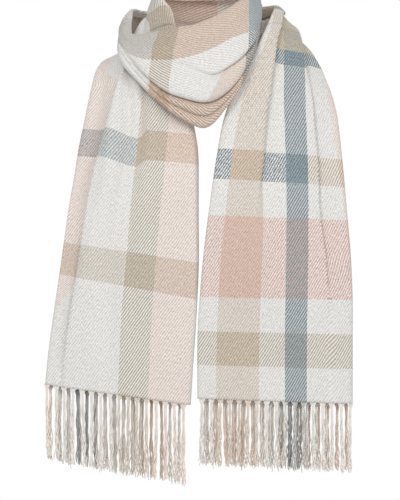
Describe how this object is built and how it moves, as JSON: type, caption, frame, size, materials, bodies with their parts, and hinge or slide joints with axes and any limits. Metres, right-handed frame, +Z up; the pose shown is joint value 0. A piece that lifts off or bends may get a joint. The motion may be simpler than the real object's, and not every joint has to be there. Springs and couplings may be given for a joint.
{
  "type": "plaid blanket scarf",
  "caption": "Wide woven plaid scarf, worn wound round the neck with a draped cowl in front and folded, fringed ends hanging down.",
  "frame": {"origin": "middle of the neck, at the height where the cloth rests on it", "axes": "+Z up along the neck, -Y towards the front where both ends hang, +X towards the viewer's right seen from the front"},
  "size_m": [0.4647, 0.3063, 0.7547],
  "materials": {
    "plaid_wool": "soft brushed twill in a large plaid",
    "fringe_wool": "soft twisted yarn"
  },
  "bodies": {
    "root": {"cowl": "plaid_wool", "outer_neck_wrap": "plaid_wool", "inner_neck_wrap": "plaid_wool", "right_tail": "plaid_wool", "left_tail": "plaid_wool", "right_fringe": "fringe_wool", "left_fringe": "fringe_wool"}
  },
  "joints": []
}
